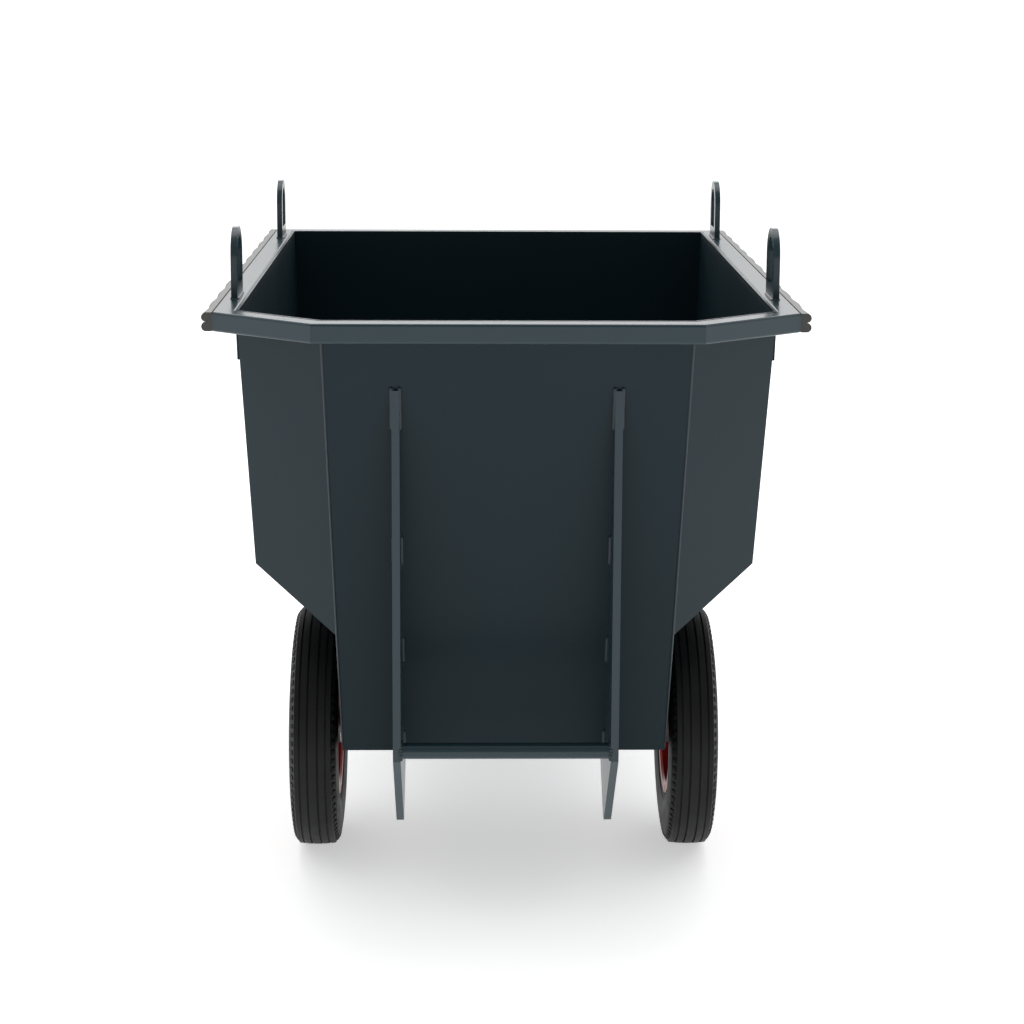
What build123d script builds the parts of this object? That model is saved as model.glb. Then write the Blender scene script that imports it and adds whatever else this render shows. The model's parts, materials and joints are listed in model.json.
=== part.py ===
"""Two-wheeled steel tub cart, towed by a drawbar and tipped forwards over its raked end.

Millimetres, +Z up, ground at Z = 0. X = 0 is the middle of the cart, and the origin lies on the
ground under the middle of its overall length. -Y is the raked end that it is tipped over, +Y is
the drawbar end. "Right" is +X. Distances called "back" are measured from the front face of the rim.
"""
from build123d import *
import math
import os

os.makedirs("parts", exist_ok=True)

# Rim, made of rectangular hollow section
RIM_TOP = 950.0
RIM_LENGTH = 1326.0
RIM_HALF_WIDTH = 447.0
FRONT_RAIL_HALF = 290.0
CORNER_DEPTH = 122.0
RAIL_WIDTH = 35.0
RAIL_HEIGHT = 30.0
RAIL_WALL = 3.0
RAIL_ROUND = 4.0

# Tub, folded and welded from sheet
SHEET = 4.0
FRONT_RAKE = 0.29
KNEE_INSET = 13.0
KNEE_RISE = 100.0
SHELF_HALF = 266.0
SHELF_ROOM = 24.0
AXLE_ROOM = 2.5
DOUBLER_HEIGHT = 50.0
DOUBLER_THICK = 4.0

# Lifting eyes
EYE_WIDTH = 90.0
EYE_HEIGHT = 111.0
EYE_THICK = 10.0
EYE_RING = 15.0
EYE_SILL = 22.0
EYE_BACKS = (307.0, 1191.0)

# Rubbing strips with two lobes, and their screws
STRIP_DEPTH = 16.0
STRIP_HEIGHT = 29.0
STRIP_WEB = 4.0
STRIP_GROOVE = 1.0
SCREW_PITCH = 120.0
SCREW_R = 2.4
SCREW_HEAD_R = 4.5
SCREW_HEAD_THICK = 2.5
SCREW_END = 12.0
SCREW_CLEARANCE = 0.2

# Tipping rails on the raked end, and the bar between them
RAIL_PLATE = 12.0
RAIL_PLATE_X = 168.0
RAIL_PLATE_BACK = 62.0
RAIL_PLATE_TOP = 840.0
RAIL_PLATE_KNEE = 259.0
FOOT_BACK = 235.0
FOOT_Z = 104.0
FOOT_ROUND = 10.0
RAIL_PLATE_END = 395.0
CROSSBAR_R = 12.5
CROSSBAR_WALL = 3.0
CROSSBAR_Z = 273.0

# Axle and its brackets
AXLE_BACK = 429.0
AXLE_R = 12.5
AXLE_HALF = 356.0
BRACKET_X = 250.0
BRACKET_THICK = 8.0
BRACKET_HALF = 45.0
BRACKET_ROUND = 25.0
WELD_GAP = 0.05

# Wheels
TYRE_R = 200.0
TYRE_HALF = 40.0
TYRE_WIDEST_DROP = 45.0
TYRE_SHOULDER_DROP = 18.0
TREAD_HALF = 29.5
TREAD_DROP = 2.0
GROOVE_WIDTH = 3.0
GROOVE_DEPTH = 4.0
GROOVE_PLACES = (-21.0, -8.0, 8.0, 21.0)
WHEEL_X = 310.5
BEAD_R = 101.3
BEAD_HALF = 31.7
RIM_FLANGE_R = 116.0
RIM_FLANGE_HALF = 35.0
RIM_PLATE = 3.0
CORE_GAP = 0.3
CORE_HALF = 33.0
CORE_NECK_HALF = 22.0
CORE_NECK_RISE = 5.0
CORE_SHOULDER_HALF = 27.0
CORE_SHOULDER_DROP = 20.0
CORE_CROWN_DROP = 12.0
HUB_R = 31.0
HUB_INNER_X = 274.0
HUB_LENGTH = 60.0
HUB_FLANGE_R = 66.0
HUB_FLANGE_THICK = 5.0
BEARING_R = 26.0
BEARING_WIDTH = 15.0
BEARING_SEAL_R = (15.5, 23.5)
BEARING_SEAL_DEPTH = 0.6
RUNNING_GAP = 0.05
BOLT_COUNT = 5
BOLT_CIRCLE_R = 52.0
BOLT_R = 4.0
BOLT_HEAD_R = 6.5
BOLT_HEAD_THICK = 5.3
BOLT_NUT_THICK = 6.5
BOLT_TAIL = 3.0
BOLT_CLEARANCE = 0.2
SPACER_R = 20.0
SPACER_WALL = 2.0
WASHER_R = 21.0
WASHER_THICK = 3.0
NUT_R = 18.0
NUT_THICK = 15.0
NUT_SLOT_DEPTH = 6.0
NUT_SLOT_WIDTH = 4.4
PIN_R = 1.8
PIN_LENGTH = 46.0

# Drawbar, stand and hitch
DRAWBAR_SIZE = 50.0
TUBE_WALL = 3.0
DRAWBAR_REACH = 520.0
GUSSET_THICK = 8.0
GUSSET_HEIGHT = 215.0
GUSSET_LENGTH = 190.0
GUSSET_NOSE = 12.0
LEG_BACK = 1170.0
LEG_ARM_WIDTH = 40.0
LEG_ARM_HEIGHT = 30.0
LEG_ARM_END = 240.0
LEG_WIDTH = 30.0
FOOT_PLATE = (60.0, 80.0, 6.0)
RISER_THICK = 10.0
RISER_WIDTH = 70.0
RISER_TOP = 325.0
RISER_RIB = 90.0
HITCH_PLATE_LENGTH = 90.0
HITCH_PLATE_WIDTH = 60.0
HITCH_PLATE_THICK = 10.0
HITCH_GAP = 30.0
HITCH_Z = 290.0
HITCH_PIN_R = 8.0
HITCH_PIN_CLEARANCE = 0.08
HITCH_PIN_DROP = 25.0
HITCH_HEAD_R = 15.0
HITCH_HEAD_THICK = 7.0
HITCH_RING_R = 19.0
HITCH_RING_ROD = 4.0

OVERALL_LENGTH = RIM_LENGTH + DRAWBAR_REACH
SIDES = ((1, "right"), (-1, "left"))


def back(distance):
    """The Y of a place that lies this far behind the front face of the rim."""
    return distance - OVERALL_LENGTH / 2


def save(built, name):
    """Labels a finished piece and writes its STEP file."""
    built.part.label = name
    export_step(built.part, f"parts/{name}.step")


# ---------------------------------------------------------------- tub
# The floor clears the axle, and the side walls step in below a shelf that clears the tyres.
FLOOR_Z = TYRE_R + AXLE_R + AXLE_ROOM
SHELF_Z = 2 * TYRE_R + SHELF_ROOM
KNEE_Z = SHELF_Z + KNEE_RISE
CORNER_ANGLE = math.atan2(CORNER_DEPTH, RIM_HALF_WIDTH - FRONT_RAIL_HALF)
SIDE_HALF = RIM_HALF_WIDTH - RAIL_WIDTH
KNEE_HALF = SIDE_HALF - KNEE_INSET
FRONT_HALF = FRONT_RAIL_HALF - RAIL_WIDTH * math.tan(CORNER_ANGLE / 2)
SIDE_START = CORNER_DEPTH + RAIL_WIDTH * math.tan((math.pi / 2 - CORNER_ANGLE) / 2)
REAR_WALL_BACK = RIM_LENGTH - RAIL_WIDTH


def front_back(z):
    """How far back the outer face of the raked front wall is at this height."""
    return RAIL_WIDTH + FRONT_RAKE * (RIM_TOP - z)


def side_half(z):
    """Half the outer width between the upper side walls at this height."""
    return SIDE_HALF - (SIDE_HALF - KNEE_HALF) * (RIM_TOP - z) / (RIM_TOP - KNEE_Z)


# The seam between the front wall and a corner panel runs on down as the edge of the lower side wall.
FLOOR_HALF = FRONT_HALF - (FRONT_HALF - SHELF_HALF) * (RIM_TOP - FLOOR_Z) / (RIM_TOP - SHELF_Z)
SECTION = (
    (SIDE_HALF, RIM_TOP),
    (KNEE_HALF, KNEE_Z),
    (SHELF_HALF, SHELF_Z),
    (FLOOR_HALF, FLOOR_Z),
)

front_seam_top = Vector(FRONT_HALF, back(RAIL_WIDTH), RIM_TOP)
side_seam_top = Vector(SIDE_HALF, back(SIDE_START), RIM_TOP)
seam_foot = Vector(SHELF_HALF, back(front_back(SHELF_Z)), SHELF_Z)
corner_normal = (side_seam_top - front_seam_top).cross(seam_foot - front_seam_top).normalized()
if corner_normal.Y < 0:
    corner_normal = -corner_normal
front_normal = Vector(0, 1, FRONT_RAKE).normalized()

# Every plane of a face has its normal pointing into the tub.
FRONT_OUT = Plane(origin=front_seam_top, z_dir=front_normal)
FRONT_IN = FRONT_OUT.offset(SHEET)
REAR_IN = Plane(origin=(0, back(REAR_WALL_BACK - SHEET), 0), z_dir=(0, -1, 0))
FLOOR_IN = Plane.XY.offset(FLOOR_Z + SHEET)


def corner_plane(side, inset):
    """The face of a corner panel, moved into the tub by an inset."""
    normal = Vector(side * corner_normal.X, corner_normal.Y, corner_normal.Z)
    point = Vector(side * front_seam_top.X, front_seam_top.Y, front_seam_top.Z)
    return Plane(origin=point + normal * inset, z_dir=normal)


def mirrored(points):
    """A half outline, given from its top down, followed by its own mirror image."""
    return [*points, *[(-x, z) for x, z in reversed(points)]]


section_plane = Plane(origin=(0, back(REAR_WALL_BACK), 0), x_dir=(1, 0, 0), z_dir=(0, -1, 0))

with BuildPart() as tub_block:
    with BuildSketch(section_plane):
        with BuildLine():
            Polyline(*mirrored(SECTION), close=True)
        make_face()
    extrude(amount=REAR_WALL_BACK)
    split(bisect_by=FRONT_OUT, keep=Keep.TOP)
    split(bisect_by=corner_plane(1, 0), keep=Keep.TOP)
    split(bisect_by=corner_plane(-1, 0), keep=Keep.TOP)

with BuildPart() as tub_front_wall:
    add(tub_block.part)
    split(bisect_by=FRONT_IN, keep=Keep.BOTTOM)
save(tub_front_wall, "tub_front_wall")

with BuildPart() as tub_rear_wall:
    add(tub_block.part)
    split(bisect_by=REAR_IN, keep=Keep.BOTTOM)
save(tub_rear_wall, "tub_rear_wall")

with BuildPart() as tub_floor:
    add(tub_block.part)
    split(bisect_by=FRONT_IN, keep=Keep.TOP)
    split(bisect_by=REAR_IN, keep=Keep.TOP)
    split(bisect_by=FLOOR_IN, keep=Keep.BOTTOM)
save(tub_floor, "tub_floor")

# What the front wall, the rear wall and the floor leave of the tub, for the panels between them.
with BuildPart() as tub_middle:
    add(tub_block.part)
    split(bisect_by=FRONT_IN, keep=Keep.TOP)
    split(bisect_by=REAR_IN, keep=Keep.TOP)
    split(bisect_by=FLOOR_IN, keep=Keep.TOP)

for side, name in SIDES:
    with BuildPart() as corner_panel:
        add(tub_middle.part)
        split(bisect_by=corner_plane(side, SHEET), keep=Keep.BOTTOM)
    save(corner_panel, f"tub_corner_panel_{name}")

with BuildPart() as tub_sides:
    add(tub_middle.part)
    split(bisect_by=corner_plane(1, SHEET), keep=Keep.TOP)
    split(bisect_by=corner_plane(-1, SHEET), keep=Keep.TOP)
    with BuildSketch(section_plane):
        with BuildLine():
            Polyline(*mirrored(SECTION), close=True)
        make_face()
        offset(amount=-SHEET, kind=Kind.INTERSECTION)
        with Locations((0, RIM_TOP)):
            Rectangle(2 * (side_half(RIM_TOP) - SHEET), 3 * SHEET)
        with Locations((0, FLOOR_Z)):
            Rectangle(2 * (FLOOR_HALF - SHEET), 3 * SHEET)
    extrude(amount=REAR_WALL_BACK, mode=Mode.SUBTRACT)

for side, name in SIDES:
    with BuildPart() as tub_side:
        add(tub_sides.part)
        split(bisect_by=Plane.YZ, keep=Keep.TOP if side > 0 else Keep.BOTTOM)
    save(tub_side, f"tub_side_{name}")

# Flat bars on the side walls, under the rim
for side, name in SIDES:
    top = RIM_TOP - RAIL_HEIGHT
    foot = top - DOUBLER_HEIGHT
    start = SIDE_START + FRONT_RAKE * (RIM_TOP - foot)
    with BuildPart() as side_doubler:
        with BuildSketch(section_plane):
            with BuildLine():
                Polyline(
                    (side * side_half(top), top),
                    (side * (side_half(top) + DOUBLER_THICK), top),
                    (side * (side_half(foot) + DOUBLER_THICK), foot),
                    (side * side_half(foot), foot),
                    close=True,
                )
            make_face()
        extrude(amount=REAR_WALL_BACK - start - DOUBLER_THICK)
    save(side_doubler, f"side_doubler_{name}")

# ---------------------------------------------------------------- rim
RIM_OUTLINE = (
    (-FRONT_RAIL_HALF, back(0)),
    (FRONT_RAIL_HALF, back(0)),
    (RIM_HALF_WIDTH, back(CORNER_DEPTH)),
    (RIM_HALF_WIDTH, back(RIM_LENGTH)),
    (-RIM_HALF_WIDTH, back(RIM_LENGTH)),
    (-RIM_HALF_WIDTH, back(CORNER_DEPTH)),
)
STRIP_MIDDLE_Z = RIM_TOP - RAIL_HEIGHT / 2
STRIP_LENGTH = RIM_LENGTH - CORNER_DEPTH
STRIP_MIDDLE_BACK = CORNER_DEPTH + STRIP_LENGTH / 2
SCREW_COUNT = int(STRIP_LENGTH // SCREW_PITCH)

with BuildPart() as rim_ring:
    with BuildSketch(Plane.XY.offset(RIM_TOP - RAIL_HEIGHT)):
        with BuildLine():
            Polyline(*RIM_OUTLINE, close=True)
        outline = make_face()
        offset(outline, amount=-RAIL_WIDTH, kind=Kind.INTERSECTION, mode=Mode.SUBTRACT)
    extrude(amount=RAIL_HEIGHT)
    long_edges = edges().filter_by(Axis.Z, reverse=True)
    fillet(long_edges, RAIL_ROUND)
    with BuildSketch(Plane.XY.offset(RIM_TOP - RAIL_HEIGHT + RAIL_WALL)):
        with BuildLine():
            Polyline(*RIM_OUTLINE, close=True)
        outline = make_face()
        offset(outline, amount=-RAIL_WALL, kind=Kind.INTERSECTION, mode=Mode.REPLACE)
        with BuildSketch(mode=Mode.SUBTRACT):
            with BuildLine():
                Polyline(*RIM_OUTLINE, close=True)
            hollow = make_face()
            offset(hollow, amount=RAIL_WALL - RAIL_WIDTH, kind=Kind.INTERSECTION, mode=Mode.REPLACE)
    extrude(amount=RAIL_HEIGHT - 2 * RAIL_WALL, mode=Mode.SUBTRACT)


def mitre(side, corner, towards):
    """The upright plane through a rim corner that halves the angle between its two rails."""
    return Plane(
        origin=(side * corner[0], back(corner[1]), RIM_TOP),
        z_dir=(side * towards[0], towards[1], 0),
    )


half_turn = CORNER_ANGLE / 2
side_turn = (math.pi / 2 + CORNER_ANGLE) / 2
FRONT_CORNER = (FRONT_RAIL_HALF, 0)
SIDE_CORNER = (RIM_HALF_WIDTH, CORNER_DEPTH)
REAR_CORNER = (RIM_HALF_WIDTH, RIM_LENGTH)
# Each normal points along the rim, from the front rail towards the rear rail.
ALONG_FRONT = (math.cos(half_turn), math.sin(half_turn))
ALONG_SIDE = (math.cos(side_turn), math.sin(side_turn))
ALONG_REAR = (-math.sqrt(0.5), math.sqrt(0.5))

with BuildPart() as rim_front_rail:
    add(rim_ring.part)
    split(bisect_by=mitre(1, FRONT_CORNER, ALONG_FRONT), keep=Keep.BOTTOM)
    split(bisect_by=mitre(-1, FRONT_CORNER, ALONG_FRONT), keep=Keep.BOTTOM)
    split(bisect_by=Plane.XZ.offset(-back(RIM_LENGTH / 2)), keep=Keep.TOP)
save(rim_front_rail, "rim_front_rail")

with BuildPart() as rim_rear_rail:
    add(rim_ring.part)
    split(bisect_by=mitre(1, REAR_CORNER, ALONG_REAR), keep=Keep.TOP)
    split(bisect_by=mitre(-1, REAR_CORNER, ALONG_REAR), keep=Keep.TOP)
save(rim_rear_rail, "rim_rear_rail")

for side, name in SIDES:
    outer_half = Keep.TOP if side > 0 else Keep.BOTTOM
    with BuildPart() as corner_rail:
        add(rim_ring.part)
        split(bisect_by=Plane.YZ, keep=outer_half)
        split(bisect_by=mitre(side, FRONT_CORNER, ALONG_FRONT), keep=Keep.TOP)
        split(bisect_by=mitre(side, SIDE_CORNER, ALONG_SIDE), keep=Keep.BOTTOM)
    save(corner_rail, f"rim_corner_rail_{name}")

    strip_plane = Plane(
        origin=(side * RIM_HALF_WIDTH, back(STRIP_MIDDLE_BACK), STRIP_MIDDLE_Z),
        x_dir=(0, 1, 0),
        z_dir=(side, 0, 0),
    )
    with BuildPart() as side_rail:
        add(rim_ring.part)
        split(bisect_by=Plane.YZ, keep=outer_half)
        split(bisect_by=mitre(side, SIDE_CORNER, ALONG_SIDE), keep=Keep.TOP)
        split(bisect_by=mitre(side, REAR_CORNER, ALONG_REAR), keep=Keep.BOTTOM)
        with BuildSketch(strip_plane):
            with GridLocations(SCREW_PITCH, 0, SCREW_COUNT, 1):
                Circle(SCREW_R + SCREW_CLEARANCE)
        extrude(amount=-2 * RAIL_WALL, mode=Mode.SUBTRACT)
    save(side_rail, f"rim_side_rail_{name}")

    start_plane = Plane(
        origin=(side * RIM_HALF_WIDTH, back(CORNER_DEPTH), STRIP_MIDDLE_Z), x_dir=(side, 0, 0), z_dir=(0, side, 0)
    )
    lobe_r = STRIP_HEIGHT / 4
    mouth = STRIP_DEPTH - lobe_r + math.sqrt(lobe_r**2 - (lobe_r - STRIP_GROOVE) ** 2)
    with BuildPart() as rubbing_strip:
        with BuildSketch(start_plane):
            with BuildLine():
                Polyline(
                    (STRIP_DEPTH - lobe_r, 2 * lobe_r),
                    (0, 2 * lobe_r),
                    (0, -2 * lobe_r),
                    (STRIP_DEPTH - lobe_r, -2 * lobe_r),
                )
                ThreePointArc(
                    (STRIP_DEPTH - lobe_r, -2 * lobe_r), (STRIP_DEPTH, -lobe_r), (mouth, -STRIP_GROOVE)
                )
                Polyline(
                    (mouth, -STRIP_GROOVE),
                    (2 * STRIP_WEB, -STRIP_GROOVE),
                    (2 * STRIP_WEB, STRIP_GROOVE),
                    (mouth, STRIP_GROOVE),
                )
                ThreePointArc((mouth, STRIP_GROOVE), (STRIP_DEPTH, lobe_r), (STRIP_DEPTH - lobe_r, 2 * lobe_r))
            make_face()
        extrude(amount=side * STRIP_LENGTH)
        with BuildSketch(strip_plane.offset(STRIP_WEB)):
            with GridLocations(SCREW_PITCH, 0, SCREW_COUNT, 1):
                Circle(SCREW_HEAD_R + SCREW_CLEARANCE)
        extrude(amount=STRIP_DEPTH, mode=Mode.SUBTRACT)
        with BuildSketch(strip_plane):
            with GridLocations(SCREW_PITCH, 0, SCREW_COUNT, 1):
                Circle(SCREW_R + SCREW_CLEARANCE)
        extrude(amount=STRIP_WEB, mode=Mode.SUBTRACT)
    save(rubbing_strip, f"rubbing_strip_{name}")

with BuildPart() as strip_screws:
    for side, name in SIDES:
        strip_plane = Plane(
            origin=(side * RIM_HALF_WIDTH, back(STRIP_MIDDLE_BACK), STRIP_MIDDLE_Z),
            x_dir=(0, 1, 0),
            z_dir=(side, 0, 0),
        )
        with BuildSketch(strip_plane.offset(STRIP_WEB)):
            with GridLocations(SCREW_PITCH, 0, SCREW_COUNT, 1):
                Circle(SCREW_HEAD_R)
        extrude(amount=SCREW_HEAD_THICK)
        with BuildSketch(strip_plane.offset(STRIP_WEB)):
            with GridLocations(SCREW_PITCH, 0, SCREW_COUNT, 1):
                Circle(SCREW_R)
        extrude(amount=-SCREW_END)
save(strip_screws, "strip_screws")

# ---------------------------------------------------------------- lifting eyes
EYE_X = RIM_HALF_WIDTH - RAIL_WIDTH / 2 - RAIL_WALL
EYE_TOP_R = EYE_WIDTH / 2
EYE_HOLE_R = EYE_TOP_R - EYE_RING
EYE_CENTRE = EYE_HEIGHT - EYE_TOP_R

for side, name in SIDES:
    for eye_back, end in zip(EYE_BACKS, ("front", "rear")):
        eye_plane = Plane(
            origin=(side * EYE_X, back(eye_back), RIM_TOP), x_dir=(0, 1, 0), z_dir=(1, 0, 0)
        )
        with BuildPart() as lifting_eye:
            with BuildSketch(eye_plane):
                with BuildLine():
                    Line((-EYE_TOP_R, 0), (EYE_TOP_R, 0))
                    Line((EYE_TOP_R, 0), (EYE_TOP_R, EYE_CENTRE))
                    ThreePointArc((EYE_TOP_R, EYE_CENTRE), (0, EYE_HEIGHT), (-EYE_TOP_R, EYE_CENTRE))
                    Line((-EYE_TOP_R, EYE_CENTRE), (-EYE_TOP_R, 0))
                make_face()
                with Locations((0, EYE_CENTRE)):
                    Circle(EYE_HOLE_R, mode=Mode.SUBTRACT)
                with Locations((0, (EYE_CENTRE + EYE_SILL) / 2)):
                    Rectangle(2 * EYE_HOLE_R, EYE_CENTRE - EYE_SILL, mode=Mode.SUBTRACT)
            extrude(amount=EYE_THICK / 2, both=True)
        save(lifting_eye, f"lifting_eye_{end}_{name}")

# ---------------------------------------------------------------- tipping rails and crossbar
for side, name in SIDES:
    plate_plane = Plane(origin=(side * RAIL_PLATE_X, 0, 0), x_dir=(0, 1, 0), z_dir=(1, 0, 0))
    with BuildPart() as tipping_rail:
        with BuildSketch(plate_plane):
            with BuildLine():
                Polyline(
                    (back(RAIL_PLATE_BACK), RAIL_PLATE_TOP),
                    (back(front_back(RAIL_PLATE_TOP)), RAIL_PLATE_TOP),
                    (back(front_back(FLOOR_Z)), FLOOR_Z),
                    (back(RAIL_PLATE_END), FLOOR_Z),
                    (back(FOOT_BACK + FOOT_ROUND), FOOT_Z),
                    (back(FOOT_BACK - FOOT_ROUND), FOOT_Z),
                    (back(RAIL_PLATE_BACK), RAIL_PLATE_KNEE),
                    close=True,
                )
            make_face()
            foot_corners = vertices().group_by(Axis.Y)[0]
            fillet(foot_corners, FOOT_ROUND)
        extrude(amount=RAIL_PLATE / 2, both=True)
    save(tipping_rail, f"tipping_rail_{name}")

with BuildPart() as crossbar:
    crossbar_half = RAIL_PLATE_X - RAIL_PLATE / 2
    crossbar_back = RAIL_PLATE_BACK + CROSSBAR_R + WELD_GAP
    with BuildSketch(Plane.YZ.offset(-crossbar_half)):
        with Locations((back(crossbar_back), CROSSBAR_Z)):
            Circle(CROSSBAR_R)
            Circle(CROSSBAR_R - CROSSBAR_WALL, mode=Mode.SUBTRACT)
    extrude(amount=2 * crossbar_half)
save(crossbar, "crossbar")

# ---------------------------------------------------------------- axle
AXLE_PLANE = Plane(origin=(0, back(AXLE_BACK), TYRE_R), x_dir=(1, 0, 0), z_dir=(0, -1, 0))
AXLE_AXIS = Axis((0, back(AXLE_BACK), TYRE_R), (1, 0, 0))
HUB_OUTER_X = HUB_INNER_X + HUB_LENGTH
NUT_X = HUB_OUTER_X + WASHER_THICK
PIN_X = NUT_X + NUT_THICK - NUT_SLOT_DEPTH / 2

with BuildPart() as axle_shaft:
    with BuildSketch(Plane.YZ.offset(-AXLE_HALF)):
        with Locations((back(AXLE_BACK), TYRE_R)):
            Circle(AXLE_R)
    extrude(amount=2 * AXLE_HALF)
    chamfer(edges().filter_by(GeomType.CIRCLE), 1.5)
    with BuildSketch(Plane.XY.offset(TYRE_R)):
        with Locations((-PIN_X, back(AXLE_BACK)), (PIN_X, back(AXLE_BACK))):
            Circle(PIN_R + WELD_GAP)
    extrude(amount=2 * AXLE_R, both=True, mode=Mode.SUBTRACT)
save(axle_shaft, "axle_shaft")

for side, name in SIDES:
    bracket_plane = Plane(origin=(side * BRACKET_X, 0, 0), x_dir=(0, 1, 0), z_dir=(1, 0, 0))
    with BuildPart() as axle_bracket:
        with BuildSketch(bracket_plane):
            with BuildLine():
                Polyline(
                    (back(AXLE_BACK - BRACKET_HALF), FLOOR_Z),
                    (back(AXLE_BACK + BRACKET_HALF), FLOOR_Z),
                    (back(AXLE_BACK + BRACKET_ROUND), TYRE_R - BRACKET_ROUND),
                    (back(AXLE_BACK - BRACKET_ROUND), TYRE_R - BRACKET_ROUND),
                    close=True,
                )
            make_face()
            with Locations((back(AXLE_BACK), TYRE_R)):
                Circle(AXLE_R + WELD_GAP, mode=Mode.SUBTRACT)
        extrude(amount=BRACKET_THICK / 2, both=True)
    save(axle_bracket, f"axle_bracket_{name}")


spacer_x = BRACKET_X + BRACKET_THICK / 2
with BuildPart() as axle_spacers:
    for side, name in SIDES:
        with BuildSketch(Plane.YZ.offset(side * spacer_x)):
            with Locations((back(AXLE_BACK), TYRE_R)):
                Circle(AXLE_R + SPACER_WALL)
                Circle(AXLE_R + WELD_GAP, mode=Mode.SUBTRACT)
        extrude(amount=side * (HUB_INNER_X - spacer_x - CORE_GAP))
save(axle_spacers, "axle_spacers")

with BuildPart() as axle_washers:
    for side, name in SIDES:
        with BuildSketch(Plane.YZ.offset(side * (HUB_OUTER_X + CORE_GAP))):
            with Locations((back(AXLE_BACK), TYRE_R)):
                Circle(WASHER_R)
                Circle(AXLE_R + WELD_GAP, mode=Mode.SUBTRACT)
        extrude(amount=side * (WASHER_THICK - CORE_GAP))
save(axle_washers, "axle_washers")

with BuildPart() as axle_nuts:
    for side, name in SIDES:
        with BuildSketch(Plane.YZ.offset(side * NUT_X)):
            with Locations((back(AXLE_BACK), TYRE_R)):
                RegularPolygon(NUT_R, 6, major_radius=False)
                Circle(AXLE_R + WELD_GAP, mode=Mode.SUBTRACT)
        extrude(amount=side * NUT_THICK)
        with BuildSketch(Plane.YZ.offset(side * (NUT_X + NUT_THICK))):
            with Locations((back(AXLE_BACK), TYRE_R)):
                with PolarLocations(0, 3, start_angle=90, angular_range=180):
                    Rectangle(3 * NUT_R, NUT_SLOT_WIDTH)
        extrude(amount=-side * NUT_SLOT_DEPTH, mode=Mode.SUBTRACT)
save(axle_nuts, "axle_nuts")

with BuildPart() as split_pins:
    with BuildSketch(Plane.XY.offset(TYRE_R - PIN_LENGTH / 2)):
        with Locations((-PIN_X, back(AXLE_BACK)), (PIN_X, back(AXLE_BACK))):
            Circle(PIN_R)
    extrude(amount=PIN_LENGTH)
    for side, name in SIDES:
        eye_centre = (side * PIN_X, back(AXLE_BACK), TYRE_R + PIN_LENGTH / 2 + PIN_R)
        with Locations(Location(eye_centre, (90, 0, 0))):
            Torus(2 * PIN_R, PIN_R * 0.8)
save(split_pins, "split_pins")

# ---------------------------------------------------------------- wheels
HUB_FLANGE_OUT = -RIM_PLATE
HUB_FLANGE_IN = HUB_FLANGE_OUT - HUB_FLANGE_THICK


def wheel_circle(side, offset_out):
    """An upright plane on the wheel's axis, this far outwards of the wheel's middle."""
    return Plane(
        origin=(side * (WHEEL_X + offset_out), back(AXLE_BACK), TYRE_R), x_dir=(0, 1, 0), z_dir=(side, 0, 0)
    )


def place(side, points):
    """Points given as (outwards of the wheel's middle, radius), placed beside the axle."""
    return [(side * (WHEEL_X + out), radius) for out, radius in points]


def core_outline(side, foot_r):
    """The outline of the room inside the tyre, from a foot radius up."""
    neck_r = BEAD_R + CORE_NECK_RISE
    widest_r = TYRE_R - TYRE_WIDEST_DROP
    shoulder_r = TYRE_R - CORE_SHOULDER_DROP
    low_left, low_right = place(side, [(-CORE_NECK_HALF, foot_r), (CORE_NECK_HALF, foot_r)])
    left, right = place(side, [(-CORE_NECK_HALF, neck_r), (CORE_NECK_HALF, neck_r)])
    left_bulge, right_bulge = place(side, [(-CORE_HALF, widest_r), (CORE_HALF, widest_r)])
    left_top, right_top = place(
        side, [(-CORE_SHOULDER_HALF, shoulder_r), (CORE_SHOULDER_HALF, shoulder_r)]
    )
    crown = place(side, [(0, TYRE_R - CORE_CROWN_DROP)])[0]
    Polyline(right, low_right, low_left, left)
    ThreePointArc(left, left_bulge, left_top)
    ThreePointArc(left_top, crown, right_top)
    ThreePointArc(right_top, right_bulge, right)


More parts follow.
